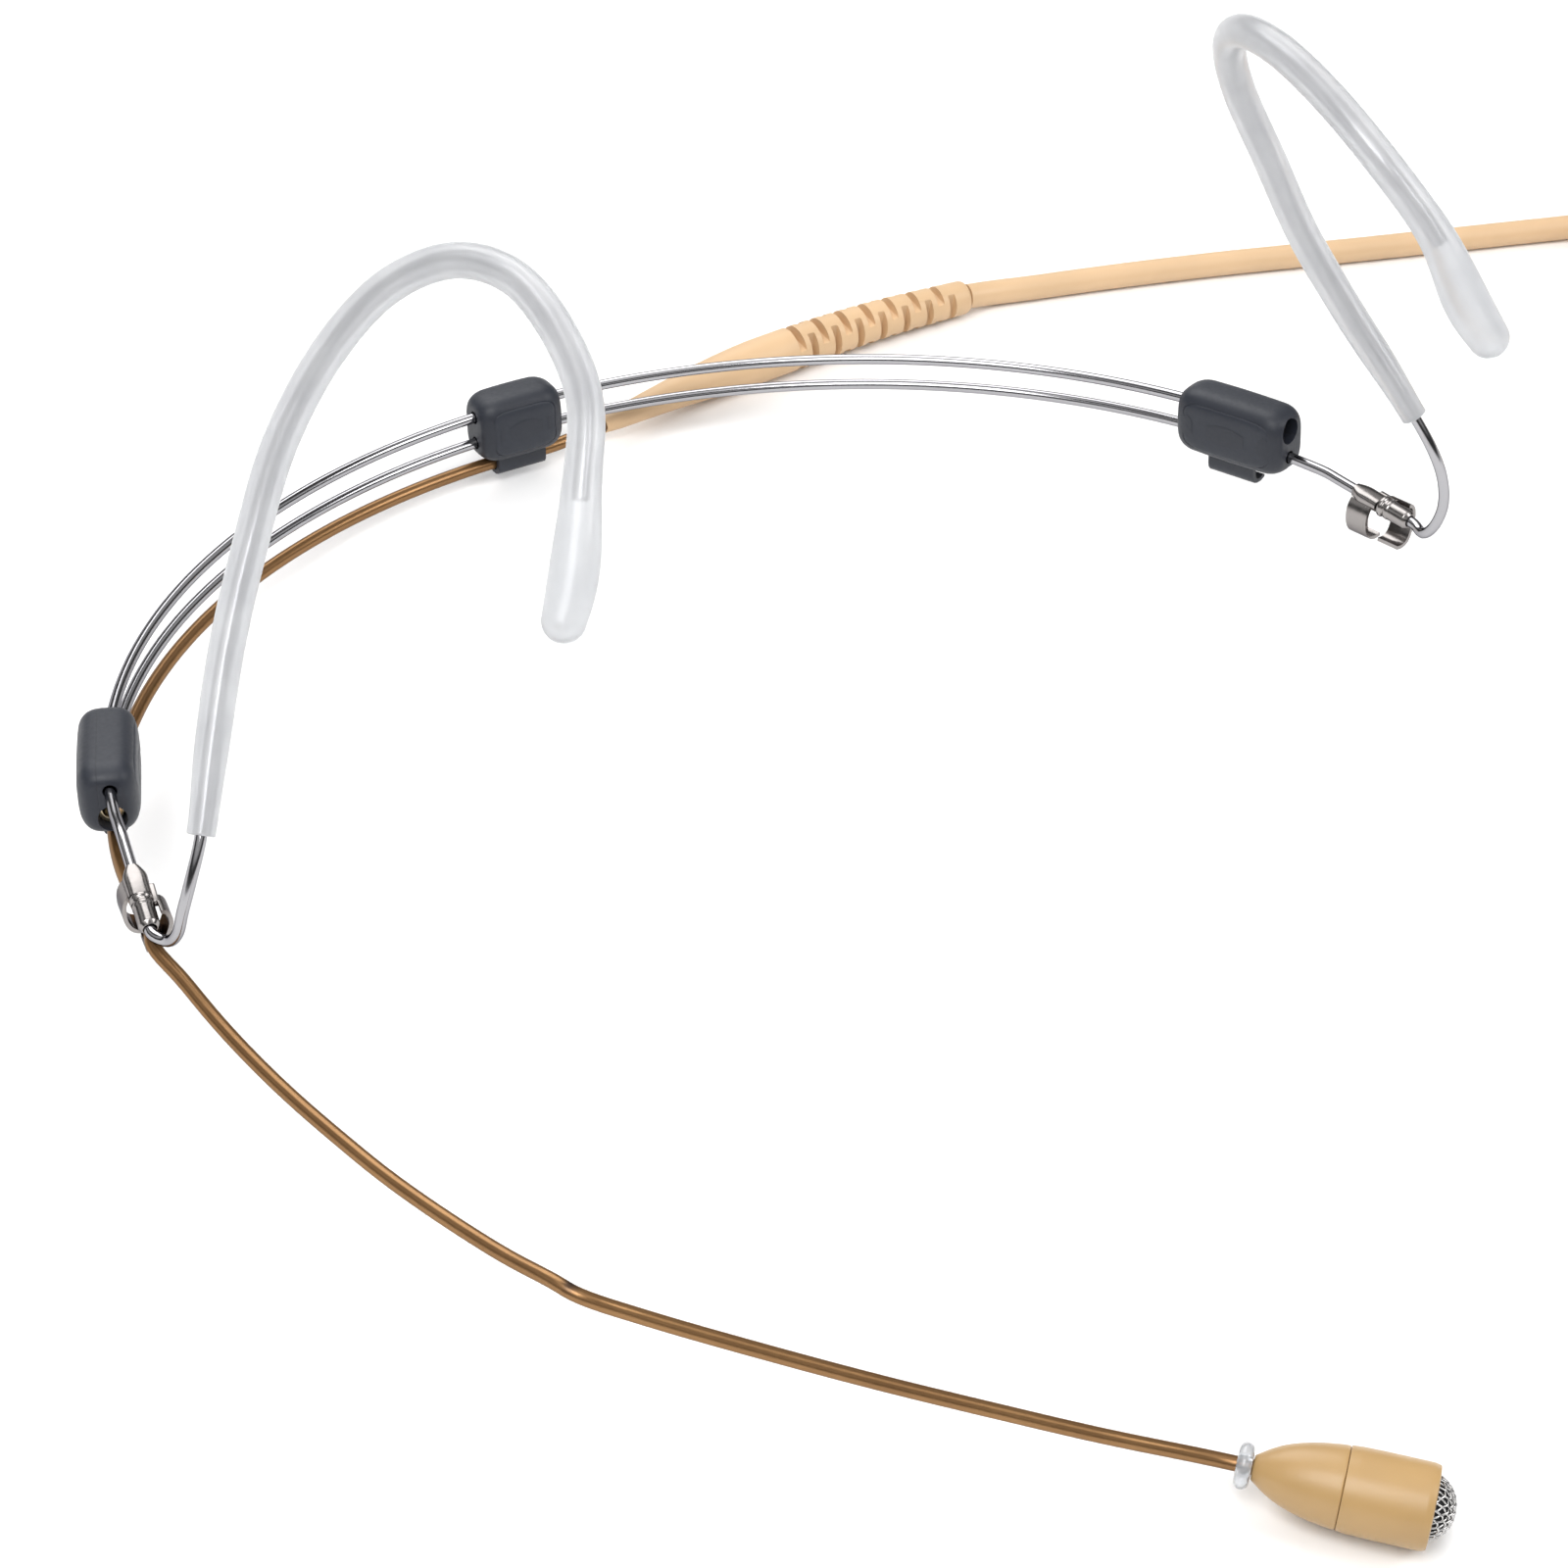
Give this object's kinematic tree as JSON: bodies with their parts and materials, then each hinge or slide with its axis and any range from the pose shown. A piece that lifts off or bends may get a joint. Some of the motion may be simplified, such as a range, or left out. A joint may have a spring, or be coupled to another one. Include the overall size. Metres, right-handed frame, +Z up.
{
  "type": "headset microphone",
  "caption": "Double-wire neckband with two sleeved ear hooks, sliding plastic clamps and a clip-in bent boom carrying a small capsule, with a thin cord and screw-lock plug.",
  "frame": {"origin": "on the table under the middle of the headset, cord left out", "axes": "+X to the wearer's left where the cord leaves, +Y to the back of the neckband, +Z up"},
  "size_m": [0.2748, 0.1878, 0.0875],
  "materials": {
    "wire_steel": "polished stainless wire",
    "clamp_plastic": "fine matte",
    "clamp_cover_plastic": "fine matte",
    "ferrule_metal": "satin",
    "bracket_steel": "satin, stamped",
    "barrel_steel": "satin",
    "silicone": "frosted clear silicone",
    "boom_bronze": "satin bronze brown",
    "capsule_tan": "satin",
    "grille_mesh": "fine woven mesh",
    "element_metal": "satin",
    "board_green": "matte",
    "clear_ring": "clear, glossy",
    "relief_beige": "matte",
    "cord_beige": "smooth, satin",
    "plug_rubber": "matte",
    "plug_metal": "satin nickel",
    "plug_knurl": "knurled nickel",
    "pin_gold": "plated"
  },
  "bodies": {
    "boom_side_band": {"upper_band_wire": "wire_steel", "boom_side_bracket": "bracket_steel", "boom_side_barrel": "barrel_steel", "right_clamp_body": "clamp_plastic", "right_clamp_cover": "clamp_cover_plastic", "right_clamp_ferrule": "ferrule_metal"},
    "far_side_band": {"lower_band_wire": "wire_steel", "far_side_bracket": "bracket_steel", "far_side_barrel": "barrel_steel", "left_clamp_body": "clamp_plastic", "left_clamp_cover": "clamp_cover_plastic", "left_clamp_ferrule": "ferrule_metal"},
    "middle_clamp": {"middle_clamp_body": "clamp_plastic", "middle_clamp_cover": "clamp_cover_plastic"},
    "boom": {"boom_tube": "boom_bronze", "capsule_rear_shell": "capsule_tan", "capsule_front_sleeve": "capsule_tan", "capsule_grille": "grille_mesh", "capsule_element": "element_metal", "capsule_contact_disc": "board_green", "strain_relief": "relief_beige", "cord_lead": "cord_beige", "cord_coil": "cord_beige", "plug_boot": "plug_rubber", "plug_shell": "plug_metal", "plug_pin": "pin_gold"},
    "retaining_ring": {"capsule_retaining_ring": "clear_ring"},
    "plug_lock": {"plug_collar": "plug_knurl"},
    "left_ear_hook": {"left_hook_wire": "wire_steel", "left_hook_tube": "silicone"},
    "right_ear_hook": {"right_hook_wire": "wire_steel", "right_hook_tube": "silicone"}
  },
  "joints": [
    {"name": "band_width", "type": "hinge", "parent": "boom_side_band", "child": "far_side_band", "pos_m": [0.00007, 0.01324, 0.0212], "axis": [0, 0.1857, 0.9826], "range_deg": [-14, 2.5]},
    {"name": "middle_clamp_slide", "type": "hinge", "parent": "boom_side_band", "child": "middle_clamp", "pos_m": [0.00007, 0.01324, 0.0212], "axis": [0, 0.1857, 0.9826], "range_deg": [-1, 28]},
    {"name": "boom_slide", "type": "hinge", "parent": "boom_side_band", "child": "boom", "pos_m": [0.00007, 0.01324, 0.0212], "axis": [0, 0.1857, 0.9826], "range_deg": [-0.5, 1]},
    {"name": "left_hook_swivel", "type": "hinge", "parent": "boom_side_band", "child": "left_ear_hook", "pos_m": [-0.07579, 0.01584, 0.01885], "axis": [-0.1864, -0.9773, -0.101], "range_deg": [-20, 20]},
    {"name": "right_hook_swivel", "type": "hinge", "parent": "far_side_band", "child": "right_ear_hook", "pos_m": [0.07583, 0.01847, 0.01714], "axis": [0.2353, -0.9695, 0.068], "range_deg": [-20, 20]},
    {"name": "retaining_ring_slide", "type": "slide", "parent": "boom", "child": "retaining_ring", "axis": [-0.7361, 0.6769, 0], "range_m": [0, 0.003]},
    {"name": "plug_collar_turn", "type": "hinge", "parent": "boom", "child": "plug_lock", "pos_m": [0.19367, 0.05624, 0.0043], "axis": [0, 1, 0], "continuous": true}
  ]
}
